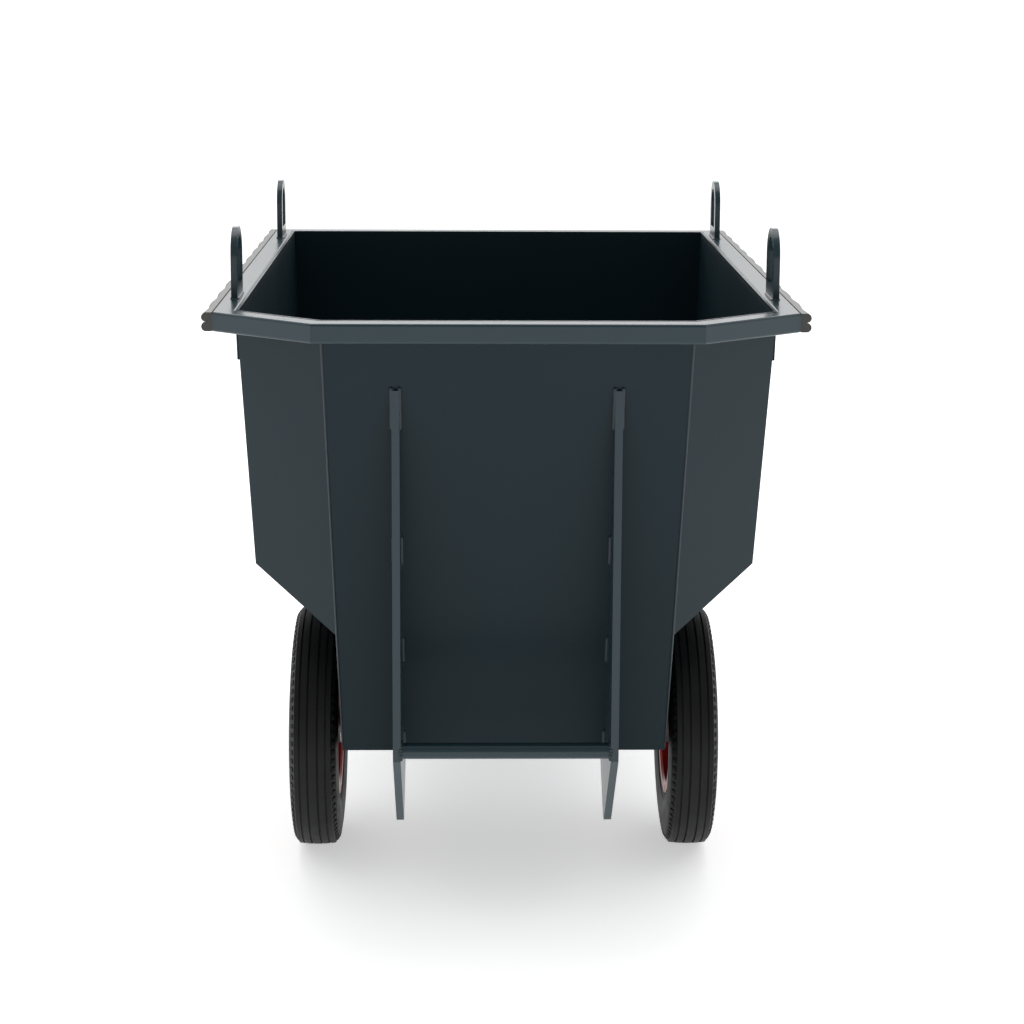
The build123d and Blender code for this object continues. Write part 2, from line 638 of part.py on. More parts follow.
for side, name in SIDES:
    with BuildPart() as tyre:
        with BuildSketch(AXLE_PLANE):
            with BuildLine():
                bead_in, bead_out = place(side, [(-BEAD_HALF, BEAD_R), (BEAD_HALF, BEAD_R)])
                flange_in, flange_out = place(
                    side, [(-BEAD_HALF, RIM_FLANGE_R + 1.5), (BEAD_HALF, RIM_FLANGE_R + 1.5)]
                )
                widest_r = TYRE_R - TYRE_WIDEST_DROP
                shoulder_r = TYRE_R - TYRE_SHOULDER_DROP
                low_r = (RIM_FLANGE_R + widest_r) / 2
                high_r = (shoulder_r + widest_r) / 2
                wall_in, wall_out = place(side, [(-TYRE_HALF, widest_r), (TYRE_HALF, widest_r)])
                low_in, low_out = place(side, [(2 - TYRE_HALF, low_r), (TYRE_HALF - 2, low_r)])
                high_in, high_out = place(side, [(0.5 - TYRE_HALF, high_r), (TYRE_HALF - 0.5, high_r)])
                edge_in, edge_out = place(
                    side, [(2.5 - TYRE_HALF, shoulder_r), (TYRE_HALF - 2.5, shoulder_r)]
                )
                tread_in, tread_out = place(
                    side, [(-TREAD_HALF, TYRE_R - TREAD_DROP), (TREAD_HALF, TYRE_R - TREAD_DROP)]
                )
                crown = place(side, [(0, TYRE_R)])[0]
                Polyline(flange_in, bead_in, bead_out, flange_out)
                ThreePointArc(flange_out, low_out, wall_out)
                ThreePointArc(wall_out, high_out, edge_out)
                Line(edge_out, tread_out)
                ThreePointArc(tread_out, crown, tread_in)
                Line(tread_in, edge_in)
                ThreePointArc(edge_in, high_in, wall_in)
                ThreePointArc(wall_in, low_in, flange_in)
            make_face()
            with BuildSketch(mode=Mode.SUBTRACT):
                with BuildLine():
                    core_outline(side, BEAD_R - 2)
                make_face()
            for groove in GROOVE_PLACES:
                with Locations((side * (WHEEL_X + groove), TYRE_R)):
                    Rectangle(GROOVE_WIDTH, 2 * GROOVE_DEPTH, mode=Mode.SUBTRACT)
        revolve(axis=AXLE_AXIS)
    save(tyre, f"tyre_{name}")

    with BuildPart() as tyre_core:
        with BuildSketch(AXLE_PLANE):
            with BuildLine():
                core_outline(side, BEAD_R + CORE_GAP)
            make_face()
            offset(amount=-CORE_GAP)
        revolve(axis=AXLE_AXIS)
    save(tyre_core, f"tyre_core_{name}")

    for half, half_name in ((1, "outer"), (-1, "inner")):
        rim_points = (
            (0, HUB_R + BOLT_CLEARANCE),
            (0, 84),
            (9, 99),
            (RIM_FLANGE_HALF - RIM_PLATE, 101),
            (RIM_FLANGE_HALF - RIM_PLATE, RIM_FLANGE_R),
            (RIM_FLANGE_HALF, RIM_FLANGE_R),
            (RIM_FLANGE_HALF, 102.5),
            (31.5, 98),
            (11, 96),
            (RIM_PLATE, 82.5),
            (RIM_PLATE, HUB_R + BOLT_CLEARANCE),
        )
        with BuildPart() as rim_half:
            with BuildSketch(AXLE_PLANE):
                with BuildLine():
                    Polyline(*place(side, [(half * out, radius) for out, radius in rim_points]), close=True)
                make_face()
            revolve(axis=AXLE_AXIS)
            with BuildSketch(wheel_circle(side, 0)):
                with PolarLocations(BOLT_CIRCLE_R, BOLT_COUNT):
                    Circle(BOLT_R + BOLT_CLEARANCE)
            extrude(amount=half * RIM_PLATE, mode=Mode.SUBTRACT)
        save(rim_half, f"wheel_rim_{half_name}_{name}")

    hub_in = HUB_INNER_X - WHEEL_X
    hub_out = hub_in + HUB_LENGTH
    seat_r = BEARING_R + WELD_GAP
    with BuildPart() as hub:
        with BuildSketch(AXLE_PLANE):
            with BuildLine():
                Polyline(
                    *place(
                        side,
                        [
                            (hub_in, seat_r),
                            (hub_in + BEARING_WIDTH, seat_r),
                            (hub_in + BEARING_WIDTH, SPACER_R),
                            (hub_out - BEARING_WIDTH, SPACER_R),
                            (hub_out - BEARING_WIDTH, seat_r),
                            (hub_out, seat_r),
                            (hub_out, HUB_R),
                            (HUB_FLANGE_OUT, HUB_R),
                            (HUB_FLANGE_OUT, HUB_FLANGE_R),
                            (HUB_FLANGE_IN, HUB_FLANGE_R),
                            (HUB_FLANGE_IN, HUB_R),
                            (hub_in, HUB_R),
                        ],
                    ),
                    close=True,
                )
            make_face()
        revolve(axis=AXLE_AXIS)
        with BuildSketch(wheel_circle(side, HUB_FLANGE_IN)):
            with PolarLocations(BOLT_CIRCLE_R, BOLT_COUNT):
                Circle(BOLT_R + BOLT_CLEARANCE)
        extrude(amount=HUB_FLANGE_THICK, mode=Mode.SUBTRACT)
    save(hub, f"wheel_hub_{name}")

    with BuildPart() as bearings:
        for bearing_in, seal_out in ((hub_in, 0), (hub_out - BEARING_WIDTH, BEARING_WIDTH)):
            with BuildSketch(wheel_circle(side, bearing_in)):
                Circle(BEARING_R)
                Circle(AXLE_R + RUNNING_GAP, mode=Mode.SUBTRACT)
            extrude(amount=BEARING_WIDTH)
            seal_depth = BEARING_SEAL_DEPTH if seal_out == 0 else -BEARING_SEAL_DEPTH
            with BuildSketch(wheel_circle(side, bearing_in + seal_out)):
                Circle(BEARING_SEAL_R[1])
                Circle(BEARING_SEAL_R[0], mode=Mode.SUBTRACT)
            extrude(amount=seal_depth, mode=Mode.SUBTRACT)
    save(bearings, f"wheel_bearings_{name}")

    with BuildPart() as rim_bolts:
        with BuildSketch(wheel_circle(side, HUB_FLANGE_IN)):
            with PolarLocations(BOLT_CIRCLE_R, BOLT_COUNT):
                RegularPolygon(BOLT_HEAD_R, 6, major_radius=False)
        extrude(amount=-BOLT_HEAD_THICK)
        with BuildSketch(wheel_circle(side, HUB_FLANGE_IN)):
            with PolarLocations(BOLT_CIRCLE_R, BOLT_COUNT):
                Circle(BOLT_R)
        extrude(amount=RIM_PLATE - HUB_FLANGE_IN + BOLT_NUT_THICK + BOLT_TAIL)
        with BuildSketch(wheel_circle(side, RIM_PLATE)):
            with PolarLocations(BOLT_CIRCLE_R, BOLT_COUNT):
                RegularPolygon(BOLT_HEAD_R, 6, major_radius=False)
        extrude(amount=BOLT_NUT_THICK)
    save(rim_bolts, f"rim_bolts_{name}")

# ---------------------------------------------------------------- drawbar and stand
DRAWBAR_START = AXLE_BACK + AXLE_R
RISER_BACK = OVERALL_LENGTH - HITCH_PLATE_LENGTH
DRAWBAR_END = RISER_BACK - RISER_THICK
DRAWBAR_FOOT = FLOOR_Z - DRAWBAR_SIZE

with BuildPart() as drawbar_tube:
    with BuildSketch(Plane(origin=(0, back(DRAWBAR_START), 0), x_dir=(-1, 0, 0), z_dir=(0, 1, 0))):
        with Locations((0, FLOOR_Z - DRAWBAR_SIZE / 2)):
            RectangleRounded(DRAWBAR_SIZE, DRAWBAR_SIZE, RAIL_ROUND)
            Rectangle(DRAWBAR_SIZE - 2 * TUBE_WALL, DRAWBAR_SIZE - 2 * TUBE_WALL, mode=Mode.SUBTRACT)
    extrude(amount=DRAWBAR_END - DRAWBAR_START)
save(drawbar_tube, "drawbar_tube")

with BuildPart() as drawbar_gusset:
    with BuildSketch(Plane.YZ):
        with BuildLine():
            Polyline(
                (back(REAR_WALL_BACK), FLOOR_Z),
                (back(REAR_WALL_BACK), FLOOR_Z + GUSSET_HEIGHT),
                (back(REAR_WALL_BACK + GUSSET_NOSE), FLOOR_Z + GUSSET_HEIGHT),
                (back(REAR_WALL_BACK + GUSSET_LENGTH), FLOOR_Z + GUSSET_NOSE),
                (back(REAR_WALL_BACK + GUSSET_LENGTH), FLOOR_Z),
                close=True,
            )
        make_face()
    extrude(amount=GUSSET_THICK / 2, both=True)
save(drawbar_gusset, "drawbar_gusset")

for side, name in SIDES:
    with BuildPart() as leg_arm:
        with BuildSketch(Plane.YZ.offset(side * DRAWBAR_SIZE / 2)):
            with Locations((back(LEG_BACK), FLOOR_Z - LEG_ARM_HEIGHT / 2)):
                Rectangle(LEG_ARM_WIDTH, LEG_ARM_HEIGHT)
                Rectangle(LEG_ARM_WIDTH - 2 * TUBE_WALL, LEG_ARM_HEIGHT - 2 * TUBE_WALL, mode=Mode.SUBTRACT)
        extrude(amount=side * (LEG_ARM_END - DRAWBAR_SIZE / 2))
    save(leg_arm, f"leg_arm_{name}")

    leg_x = side * (LEG_ARM_END - LEG_WIDTH / 2)
    with BuildPart() as stand_leg:
        with BuildSketch(Plane.XY.offset(FOOT_PLATE[2])):
            with Locations((leg_x, back(LEG_BACK))):
                Rectangle(LEG_WIDTH, LEG_ARM_WIDTH)
                Rectangle(LEG_WIDTH - 2 * TUBE_WALL, LEG_ARM_WIDTH - 2 * TUBE_WALL, mode=Mode.SUBTRACT)
        extrude(amount=FLOOR_Z - LEG_ARM_HEIGHT - FOOT_PLATE[2])
    save(stand_leg, f"stand_leg_{name}")

    with BuildPart() as foot_plate:
        with BuildSketch():
            with Locations((leg_x, back(LEG_BACK))):
                RectangleRounded(FOOT_PLATE[0], FOOT_PLATE[1], 2 * RAIL_ROUND)
        extrude(amount=FOOT_PLATE[2])
    save(foot_plate, f"foot_plate_{name}")

# ---------------------------------------------------------------- hitch
with BuildPart() as hitch_riser:
    with BuildSketch(Plane.XZ.offset(-back(RISER_BACK))):
        with Locations((0, (RISER_TOP + DRAWBAR_FOOT) / 2)):
            RectangleRounded(RISER_WIDTH, RISER_TOP - DRAWBAR_FOOT, 2 * RAIL_ROUND)
    extrude(amount=RISER_THICK)
save(hitch_riser, "hitch_riser")

with BuildPart() as hitch_rib:
    with BuildSketch(Plane.YZ):
        with BuildLine():
            Polyline(
                (back(DRAWBAR_END), FLOOR_Z),
                (back(DRAWBAR_END), RISER_TOP - GUSSET_NOSE),
                (back(DRAWBAR_END - GUSSET_NOSE), RISER_TOP - GUSSET_NOSE),
                (back(DRAWBAR_END - RISER_RIB), FLOOR_Z + GUSSET_NOSE),
                (back(DRAWBAR_END - RISER_RIB), FLOOR_Z),
                close=True,
            )
        make_face()
    extrude(amount=GUSSET_THICK / 2, both=True)
save(hitch_rib, "hitch_rib")

HITCH_HOLE_BACK = OVERALL_LENGTH - HITCH_PLATE_WIDTH / 2
UPPER_PLATE_Z = HITCH_Z + HITCH_GAP / 2
LOWER_PLATE_Z = HITCH_Z - HITCH_GAP / 2 - HITCH_PLATE_THICK

for plate_z, level in ((UPPER_PLATE_Z, "upper"), (LOWER_PLATE_Z, "lower")):
    with BuildPart() as hitch_plate:
        with BuildSketch(Plane.XY.offset(plate_z)):
            with Locations((0, back((RISER_BACK + HITCH_HOLE_BACK) / 2))):
                Rectangle(HITCH_PLATE_WIDTH, HITCH_HOLE_BACK - RISER_BACK)
            with Locations((0, back(HITCH_HOLE_BACK))):
                Circle(HITCH_PLATE_WIDTH / 2)
                Circle(HITCH_PIN_R + HITCH_PIN_CLEARANCE, mode=Mode.SUBTRACT)
        extrude(amount=HITCH_PLATE_THICK)
    save(hitch_plate, f"hitch_plate_{level}")

PIN_SEAT = UPPER_PLATE_Z + HITCH_PLATE_THICK
PIN_FOOT = LOWER_PLATE_Z - HITCH_PIN_DROP

with BuildPart() as hitch_pin:
    with BuildSketch(Plane.XY.offset(PIN_FOOT)):
        with Locations((0, back(HITCH_HOLE_BACK))):
            Circle(HITCH_PIN_R)
    extrude(amount=PIN_SEAT - PIN_FOOT)
    chamfer(edges().group_by(Axis.Z)[0], HITCH_PIN_R / 3)
    with BuildSketch(Plane.XY.offset(PIN_SEAT)):
        with Locations((0, back(HITCH_HOLE_BACK))):
            Circle(HITCH_HEAD_R)
    extrude(amount=HITCH_HEAD_THICK)
    ring_z = PIN_SEAT + HITCH_HEAD_THICK + HITCH_RING_R + HITCH_RING_ROD / 2
    with Locations(Location((0, back(HITCH_HOLE_BACK), ring_z), (90, 0, 0))):
        Torus(HITCH_RING_R, HITCH_RING_ROD)
save(hitch_pin, "hitch_pin")
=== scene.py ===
"""Looks for the tow behind tub cart: finishes for its steel, rubber and paint, and the pieces that only show.

Every length is in metres, in the cart's own frame: +Z up, -Y towards the raked pouring end.
"""

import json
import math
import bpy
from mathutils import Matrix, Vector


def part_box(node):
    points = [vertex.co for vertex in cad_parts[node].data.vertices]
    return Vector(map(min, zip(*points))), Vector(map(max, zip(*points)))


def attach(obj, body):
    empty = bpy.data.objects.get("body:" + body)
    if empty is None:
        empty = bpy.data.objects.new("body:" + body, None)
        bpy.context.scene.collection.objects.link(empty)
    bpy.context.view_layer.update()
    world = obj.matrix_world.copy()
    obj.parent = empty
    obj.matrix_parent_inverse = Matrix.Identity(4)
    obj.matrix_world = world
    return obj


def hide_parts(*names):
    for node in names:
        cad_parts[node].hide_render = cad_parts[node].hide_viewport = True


bl_info = {
    "name": "Tub Cart Finishes",
    "version": (1, 0, 0),
    "blender": (4, 5, 0),
    "location": "View3D > Sidebar > Tub Cart",
    "description": "Paints the cart's frame and adds its welds, treads and rubber strips",
    "category": "Object",
}

import bmesh
import bpy
from bpy.props import FloatProperty, FloatVectorProperty, IntProperty, PointerProperty
from mathutils import Matrix, Vector, noise

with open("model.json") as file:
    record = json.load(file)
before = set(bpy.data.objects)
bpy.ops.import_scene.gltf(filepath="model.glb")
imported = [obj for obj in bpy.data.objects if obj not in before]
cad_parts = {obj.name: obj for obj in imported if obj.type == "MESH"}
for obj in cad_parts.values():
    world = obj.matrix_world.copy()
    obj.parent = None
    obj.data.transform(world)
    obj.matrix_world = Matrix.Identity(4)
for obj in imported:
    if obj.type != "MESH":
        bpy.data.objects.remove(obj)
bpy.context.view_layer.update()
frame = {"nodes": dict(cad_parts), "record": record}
SIDES = (("right", 1), ("left", -1))

SHARP_ANGLE = math.radians(35)
MERGE_DISTANCE = 1e-6

# Rubbing strips: width of a screw head, least gap between two screws, slices along a strip.
SCREW_HEAD = 0.009
SCREW_GAP = 0.02
STRIP_SLICES = 110
STRIP_UNEVENNESS = 0.0012

# Tyres: one shoulder block, how it leans and lies.
BLOCK_WIDTH_SHARE = 0.20
BLOCK_LENGTH = 0.0078
BLOCK_THICKNESS = 0.0026
BLOCK_LEAN = math.radians(57)
BLOCK_OUT_SHARE = 0.845
BLOCK_DEPTH = 0.0098
BLOCK_EDGE = 0.0006
# Each wall ring's radius, thickness and step outwards.
WALL_RINGS = ((0.163, 0.0012, 0.0), (0.128, 0.0015, -0.0035), (0.121, 0.001, -0.006))
WALL_RING_INSET = 0.0012

# Welds: a bead's sides, its rings per ripple, and each seam's bead radius.
BEAD_SIDES = 10
RINGS_PER_RIPPLE = 3
FEWEST_RINGS = 5
TIPPING_BEAD = 0.0042
CROSSBAR_BEAD = 0.003
RAKED_CORNER_BEAD = 0.0018
FRONT_RAIL_BEAD = 0.0024
REAR_RAIL_BEAD = 0.0026
GUSSET_BEAD = 0.003
EYE_BEAD = 0.0028
# Stitches down a tipping rail, each as its place from the top and its length in stitches.
TIPPING_STITCHES = ((0.0, 1.4), (0.39, 1.0), (0.67, 0.9), (0.94, 1.0))
FRONT_RAIL_STITCHES = (-0.82, -0.41, 0.0, 0.41, 0.82)
REAR_RAIL_STITCHES = (-0.85, -0.5, -0.17, 0.17, 0.5, 0.85)
RAIL_CLEARANCE = 0.0004

# A valve's stem, neck and cap, each as its length, radius and middle, and where the valve stands.
VALVE_PARTS = ((0.020, 0.0045, 0.010), (0.008, 0.0036, 0.023), (0.010, 0.0042, 0.031))
VALVE_OUT = 0.003
VALVE_UP = 0.080

# Each lamp's name, place, target, size and power.
LAMPS = (
    ("overhead", (0.0, 0.6, 4.4), (0, 0, 0.6), (3.0, 3.0), 45),
    ("back_rim", (0.0, 5.2, 3.4), (0, 0, 0.8), (6.0, 1.6), 70),
)


# ---------------------------------------------------------------- sizes and colours
class CartPaintSettings(bpy.types.PropertyGroup):
    """Colours and finish of the painted steel."""

    paint_color: FloatVectorProperty(
        name="Paint", description="Slate paint of the tub", subtype="COLOR", size=3,
        default=(0.0089, 0.0222, 0.0290), min=0, max=1)
    paint_roughness: FloatProperty(
        name="Roughness", description="Roughness of the paint", default=0.34, min=0, max=1)
    rim_color: FloatVectorProperty(
        name="Wheel rims", description="Red paint of the wheel rims", subtype="COLOR", size=3,
        default=(0.40, 0.016, 0.014), min=0, max=1)
    steel_color: FloatVectorProperty(
        name="Zinc", description="Zinc-plated fastenings", subtype="COLOR", size=3,
        default=(0.50, 0.50, 0.49), min=0, max=1)
    tyre_color: FloatVectorProperty(
        name="Tyre", description="Tyre rubber", subtype="COLOR", size=3,
        default=(0.0065, 0.0070, 0.0072), min=0, max=1)
    strip_color: FloatVectorProperty(
        name="Rubbing strip", description="Rubber of the rubbing strips", subtype="COLOR", size=3,
        default=(0.018, 0.016, 0.014), min=0, max=1)


class CartDetailSettings(bpy.types.PropertyGroup):
    """Sizes of the pieces that only show."""

    ripple: FloatProperty(
        name="Weld ripple", description="Distance between ripples of a weld",
        default=0.0042, unit="LENGTH")
    stitch: FloatProperty(
        name="Weld stitch", description="Length of a stitch weld", default=0.05, unit="LENGTH")
    strip_wave: FloatProperty(
        name="Strip wave", description="How far a rubbing strip bulges between its screws",
        default=0.0032, unit="LENGTH")
    tread_blocks: IntProperty(
        name="Shoulder blocks", description="Raised blocks around each shoulder of a tyre",
        default=84, min=12)


class CartStageSettings(bpy.types.PropertyGroup):
    """Camera."""

    lens: FloatProperty(
        name="Lens", description="Focal length of the camera", default=81.2, unit="CAMERA")
    eye: FloatVectorProperty(
        name="Camera", description="Where the camera stands", subtype="TRANSLATION", size=3,
        default=(-0.057, -4.267, 1.4397))
    yaw: FloatProperty(
        name="Yaw", description="Turn to the right", default=math.radians(1.074), subtype="ANGLE")
    pitch: FloatProperty(
        name="Pitch", description="Tilt down", default=math.radians(10.19), subtype="ANGLE")
    shift: FloatProperty(name="Shift", description="Vertical shift of the lens", default=-0.11)
    roll: FloatProperty(
        name="Roll", description="Roll of the camera", default=math.radians(0.276), subtype="ANGLE")


def paint_settings():
    return bpy.context.scene.cart_paint


def detail_settings():
    return bpy.context.scene.cart_detail


# ---------------------------------------------------------------- shader expressions
class Signal:
    """A socket's value, or a number, with the arithmetic that the finishes use."""

    def __init__(self, finish, socket):
        self.finish = finish
        self.socket = socket

    def _math(self, operation, *values):
        return self.finish.node("ShaderNodeMath", {"operation": operation}, dict(enumerate(values)))

    def __add__(self, other):
        return self._math("ADD", self, other)

    __radd__ = __add__

    def __sub__(self, other):
        return self._math("SUBTRACT", self, other)

    def __rsub__(self, other):
        return self._math("SUBTRACT", other, self)

    def __mul__(self, other):
        return self._math("MULTIPLY", self, other)

    __rmul__ = __mul__


class Finish:
    """A material under construction."""

    def __init__(self, name):
        self.material = bpy.data.materials.new(name)
        self.material.use_nodes = True
        self.tree = self.material.node_tree
        self.shader = self.tree.nodes["Principled BSDF"]
        coordinates = self.tree.nodes.new("ShaderNodeTexCoord")
        self.place = Signal(self, coordinates.outputs["Object"])

    def node(self, kind, settings, inputs, output=0):
        made = self.tree.nodes.new(kind)
        for key, value in settings.items():
            if key == "stops":
                ramp = made.color_ramp.elements
                for index, (position, level) in enumerate(value):
                    element = ramp[index] if index < 2 else ramp.new(position)
                    element.position = position
                    element.color = (level, level, level, 1)
            else:
                setattr(made, key, value)
        for key, value in inputs.items():
            self.link(made.inputs[key], value)
        return Signal(self, made.outputs[output])

    def link(self, socket, value):
        if isinstance(value, Signal):
            self.tree.links.new(value.socket, socket)
        else:
            socket.default_value = value

    def noise(self, scale, detail=3.0, roughness=0.5):
        inputs = {"Vector": self.place, "Scale": scale, "Detail": detail, "Roughness": roughness}
        return self.node("ShaderNodeTexNoise", {}, inputs)

    def mask(self, signal, low, high):
        """0 below low, 1 above high."""
        return self.node("ShaderNodeValToRGB", {"stops": ((low, 0), (high, 1))}, {"Fac": signal})

    def blend(self, factor, first, second):
        made = self.tree.nodes.new("ShaderNodeMix")
        made.data_type = "RGBA"
        self.link(made.inputs["Factor"], factor)
        for socket, value in ((made.inputs[6], first), (made.inputs[7], second)):
            self.link(socket, value if isinstance(value, Signal) else (*value, 1))
        return Signal(self, made.outputs[2])

    def bump(self, height, strength, distance):
        made = self.node(
            "ShaderNodeBump", {}, {"Strength": strength, "Distance": distance, "Height": height})
        self.link(self.shader.inputs["Normal"], made)

    def height(self):
        """Height above the ground, in metres."""
        return self.node("ShaderNodeSeparateXYZ", {}, {0: self.place}, output="Z")

    def set(self, **values):
        for key, value in values.items():
            self.link(self.shader.inputs[key.replace("_", " ")], value)
        return self


def shade(color, factor):
    return tuple(min(1.0, c * factor) for c in color)


def slate_paint():
    """Sprayed enamel on sheet steel, with orange peel, dust low down and small scuffs."""
    color = tuple(paint_settings().paint_color)
    finish = Finish("slate_paint")
    broad = finish.noise(3.0, 2.0)
    fine = finish.noise(900.0, 2.0)
    peel = finish.noise(140.0, 3.0, 0.6)
    scuffs = finish.mask(finish.noise(46.0, 8.0, 0.72), 0.70, 0.78)
    dust = finish.mask(finish.height() * -2.6 + 0.62 + finish.noise(9.0, 5.0, 0.6) * 0.5, 0.42, 0.95)
    base = finish.blend(broad, shade(color, 0.9), shade(color, 1.12))
    dusted = finish.blend(dust * 0.07, base, (0.035, 0.042, 0.046))
    scuffed = finish.blend(scuffs * 0.22, dusted, shade(color, 2.2))
    rough = broad * 0.07 + (paint_settings().paint_roughness - 0.035) + dust * 0.14 + scuffs * 0.14
    finish.set(Base_Color=scuffed, Roughness=rough, Specular_IOR_Level=0.17)
    finish.bump(peel + fine * 0.25, 0.10, 0.0006)
    return finish.material


def lightened_gloss_paint():
    """The same enamel on the rim's tubes, where it flows out smoother, its colour painted lighter as a
    painted highlight.
    """
    color = tuple(paint_settings().paint_color)
    finish = Finish("rim_tube_paint_lightened")
    broad = finish.noise(7.0, 2.0)
    peel = finish.noise(120.0, 2.0, 0.5)
    scuffs = finish.mask(finish.noise(60.0, 8.0, 0.7), 0.71, 0.79)
    # Painted highlight: the slate colour lightened 1.5 to 1.8 times for the brighter look of the rails, eyes
    # and crossbar.
    base = finish.blend(broad, shade(color, 1.5), shade(color, 1.8))
    scuffed = finish.blend(scuffs * 0.2, base, shade(color, 2.4))
    finish.set(
        Base_Color=scuffed,
        Roughness=broad * 0.05 + 0.22 + scuffs * 0.2,
        Specular_IOR_Level=0.45,
    )
    finish.bump(peel, 0.08, 0.0006)
    return finish.material


def red_paint():
    """Red enamel of the wheel rims, with road grime."""
    color = tuple(paint_settings().rim_color)
    finish = Finish("wheel_rim_paint")
    broad = finish.noise(16.0, 4.0)
    grime = finish.mask(finish.noise(34.0, 7.0, 0.65), 0.52, 0.74)
    base = finish.blend(broad, shade(color, 0.85), shade(color, 1.1))
    finish.set(
        Base_Color=finish.blend(grime * 0.35, base, (0.06, 0.035, 0.03)),
        Roughness=grime * 0.25 + 0.32,
    )
    finish.bump(finish.noise(220.0, 3.0), 0.10, 0.0005)
    return finish.material


def zinc():
    """Bright zinc plate with a faint spangle."""
    color = tuple(paint_settings().steel_color)
    finish = Finish("zinc_plated_steel")
    spangle = finish.noise(210.0, 4.0, 0.6)
    finish.set(
        Base_Color=finish.blend(spangle, shade(color, 0.8), shade(color, 1.1)),
        Roughness=spangle * 0.22 + 0.24,
        Metallic=1.0,
    )
    finish.bump(spangle, 0.12, 0.0004)
    return finish.material


def turned_steel():
    """Bare machined steel, stained in places."""
    finish = Finish("turned_steel")
    rings = finish.noise(420.0, 3.0)
    stain = finish.mask(finish.noise(52.0, 6.0, 0.65), 0.48, 0.72)
    steel = finish.blend(rings, (0.20, 0.20, 0.205), (0.31, 0.31, 0.315))
    finish.set(
        Base_Color=finish.blend(stain * 0.5, steel, (0.10, 0.075, 0.055)),
        Roughness=stain * 0.3 + 0.34,
        Metallic=1.0 - stain * 0.6,
    )
    finish.bump(rings, 0.15, 0.0004)
    return finish.material


def tyre_rubber():
    """Black rubber with a little dust."""
    color = tuple(paint_settings().tyre_color)
    finish = Finish("tyre_rubber")
    mottle = finish.noise(24.0, 6.0, 0.62)
    dust = finish.mask(mottle, 0.46, 0.78)
    grain = finish.noise(700.0, 3.0)
    finish.set(
        Base_Color=finish.blend(dust * 0.4, color, (0.016, 0.016, 0.015)),
        Roughness=dust * 0.2 + 0.52,
        Specular_IOR_Level=0.26,
    )
    finish.bump(grain, 0.25, 0.0005)
    return finish.material


def strip_rubber():
    """Moulded rubber with patches of lighter warm brown, partly bloom and partly a painted sheen for the
    bright surround reflected at a grazing angle.
    """
    color = tuple(paint_settings().strip_color)
    finish = Finish("strip_rubber")
    bloom_and_sheen = finish.noise(18.0, 6.0, 0.6)
    finish.set(
        # Lighter warm-brown patches: partly rubber bloom, partly painted sheen standing in for a grazing
        # reflection.
        Base_Color=finish.blend(finish.mask(bloom_and_sheen, 0.38, 0.72), color, (0.105, 0.072, 0.050)),
        Roughness=bloom_and_sheen * 0.2 + 0.60,
        Specular_IOR_Level=0.12,
    )
    finish.bump(finish.noise(380.0, 4.0), 0.2, 0.0005)
    return finish.material


def weld_paint():
    """Enamel over a weld, a little rougher than on the sheet."""
    color = tuple(paint_settings().paint_color)
    finish = Finish("painted_weld")
    spatter = finish.noise(420.0, 4.0, 0.6)
    finish.set(
        Base_Color=finish.blend(spatter, shade(color, 0.85), shade(color, 1.3)),
        Roughness=spatter * 0.1 + 0.34,
    )
    finish.bump(spatter, 0.3, 0.0006)
    return finish.material


def foam_core():
    """Dark foam inside the tyres."""
    finish = Finish("foam_core")
    cells = finish.noise(300.0, 4.0)
    finish.set(
        Base_Color=finish.blend(cells, (0.05, 0.05, 0.05), (0.09, 0.09, 0.09)),
        Roughness=cells * 0.1 + 0.8,
    )
    finish.bump(cells, 0.4, 0.001)
    return finish.material


# ---------------------------------------------------------------- mesh helpers
def new_piece(name, mesh, material, body, stands_for=()):
    """Turns a bmesh into a piece that rides on a body, with its place in its mesh."""
    bmesh.ops.recalc_face_normals(mesh, faces=mesh.faces)
    data = bpy.data.meshes.new(name)
    mesh.to_mesh(data)
    mesh.free()
    for polygon in data.polygons:
        polygon.use_smooth = True
    data.set_sharp_from_angle(angle=SHARP_ANGLE)
    data.materials.append(material)
    piece = bpy.data.objects.new(name, data)
    bpy.context.scene.collection.objects.link(piece)
    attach(piece, body)
    if stands_for:
        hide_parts(*stands_for)
    return piece


def weld_bead(mesh, start, end, radius, ripple, seed):
    """Adds one rippled bead from start to end: a round bar whose rings swell and shrink."""
    start = Vector(start)
    run = Vector(end) - start
    length = run.length
    bead = bmesh.new()
    bmesh.ops.create_cone(
        bead, cap_ends=True, cap_tris=False, segments=BEAD_SIDES,
        radius1=radius, radius2=radius, depth=length)
    long_edges = [e for e in bead.edges if abs(e.verts[0].co.z - e.verts[1].co.z) > length / 2]
    cuts = max(FEWEST_RINGS, int(length / ripple * RINGS_PER_RIPPLE))
    bmesh.ops.subdivide_edges(bead, edges=long_edges, cuts=cuts, use_grid_fill=True)
    for vert in bead.verts:
        travel = vert.co.z + length / 2
        swell = 0.88 + 0.14 * abs(math.sin(math.pi * travel / ripple))
        swell += 0.10 * noise.noise(Vector((travel * 90, seed * 7.3, 0)))
        to_end = min(travel, length - travel)
        taper = 0.1 + 0.9 * math.sqrt(max(0.0, 1 - (1 - min(1.0, to_end / (1.6 * radius))) ** 2))
        vert.co.x *= swell * taper
        vert.co.y *= swell * taper
    turn = Vector((0, 0, 1)).rotation_difference(run.normalized()).to_matrix().to_4x4()
    bmesh.ops.transform(bead, matrix=Matrix.Translation(start + run / 2) @ turn, verts=bead.verts)
    data = bpy.data.meshes.new("bead")
    bead.to_mesh(data)
    bead.free()
    mesh.from_mesh(data)
    bpy.data.meshes.remove(data)


def weld_piece(name, runs, radius):
    """One piece of beads along several runs."""
    mesh = bmesh.new()
    for index, (start, end) in enumerate(runs):
        weld_bead(mesh, start, end, radius, detail_settings().ripple, index)
    return new_piece(name, mesh, bpy.data.materials["painted_weld"], "cart")


